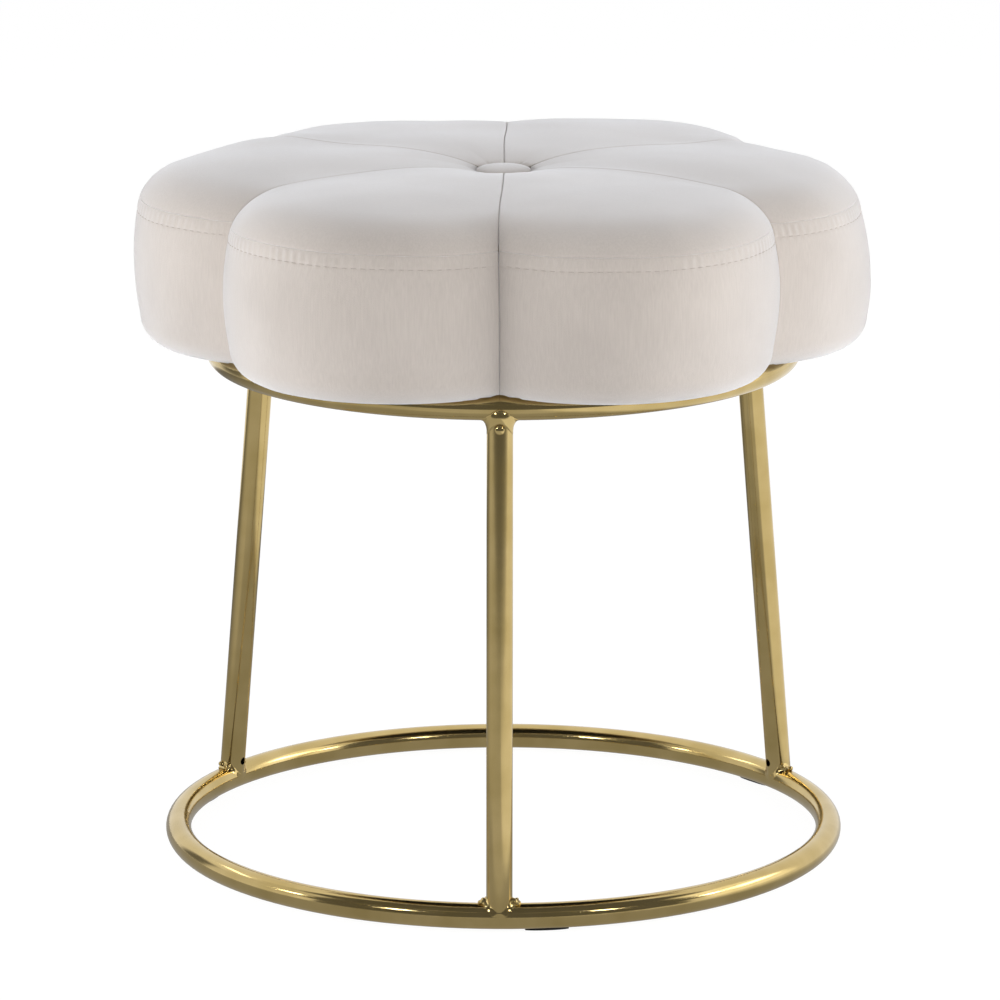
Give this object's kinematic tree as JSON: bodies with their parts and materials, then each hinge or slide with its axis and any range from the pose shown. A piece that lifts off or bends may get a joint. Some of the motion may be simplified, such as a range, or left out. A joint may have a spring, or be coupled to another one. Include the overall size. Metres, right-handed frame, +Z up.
{
  "type": "vanity stool",
  "caption": "Round vanity stool with a tufted, petal-shaped velvet cushion on an open welded frame of brass-plated tube rings and splayed legs.",
  "frame": {"origin": "on the floor, on the stool's upright axis, level with the undersides of the glide pads", "axes": "+Z up; the front leg stands on the -Y side; +X to the stool's right seen from the front, across two opposite petals"},
  "size_m": [0.4634, 0.4354, 0.4415],
  "materials": {
    "plated_tube": "polished plating",
    "plated_weld": "plated weld bead",
    "plated_tab": "plated plate",
    "zinc_steel": "bright zinc",
    "glide_rubber": "matt black",
    "plywood": "raw plywood",
    "foam": "polyurethane foam",
    "velvet": "ivory velvet",
    "nylon": "natural nylon",
    "dust_cloth": "black non-woven cloth"
  },
  "bodies": {
    "root": {"floor_ring": "plated_tube", "seat_ring": "plated_tube", "leg_front": "plated_tube", "leg_rear_right": "plated_tube", "leg_rear_left": "plated_tube", "foot_welds": "plated_weld", "head_welds": "plated_weld", "tab_welds": "plated_weld", "mounting_tab_right": "plated_tab", "mounting_tab_rear": "plated_tab", "mounting_tab_left": "plated_tab", "seat_screws": "zinc_steel", "spring_washers": "zinc_steel", "flat_washers": "zinc_steel", "tee_nuts": "zinc_steel", "tie_anchor": "zinc_steel", "staples": "zinc_steel", "glide_pads": "glide_rubber", "seat_board": "plywood", "foam_pad": "foam", "top_panel_1": "velvet", "side_panel_1": "velvet", "top_panel_2": "velvet", "side_panel_2": "velvet", "top_panel_3": "velvet", "side_panel_3": "velvet", "top_panel_4": "velvet", "side_panel_4": "velvet", "top_panel_5": "velvet", "side_panel_5": "velvet", "top_panel_6": "velvet", "side_panel_6": "velvet", "tuft_button": "velvet", "button_tie": "nylon", "dust_cover": "dust_cloth"}
  },
  "joints": []
}
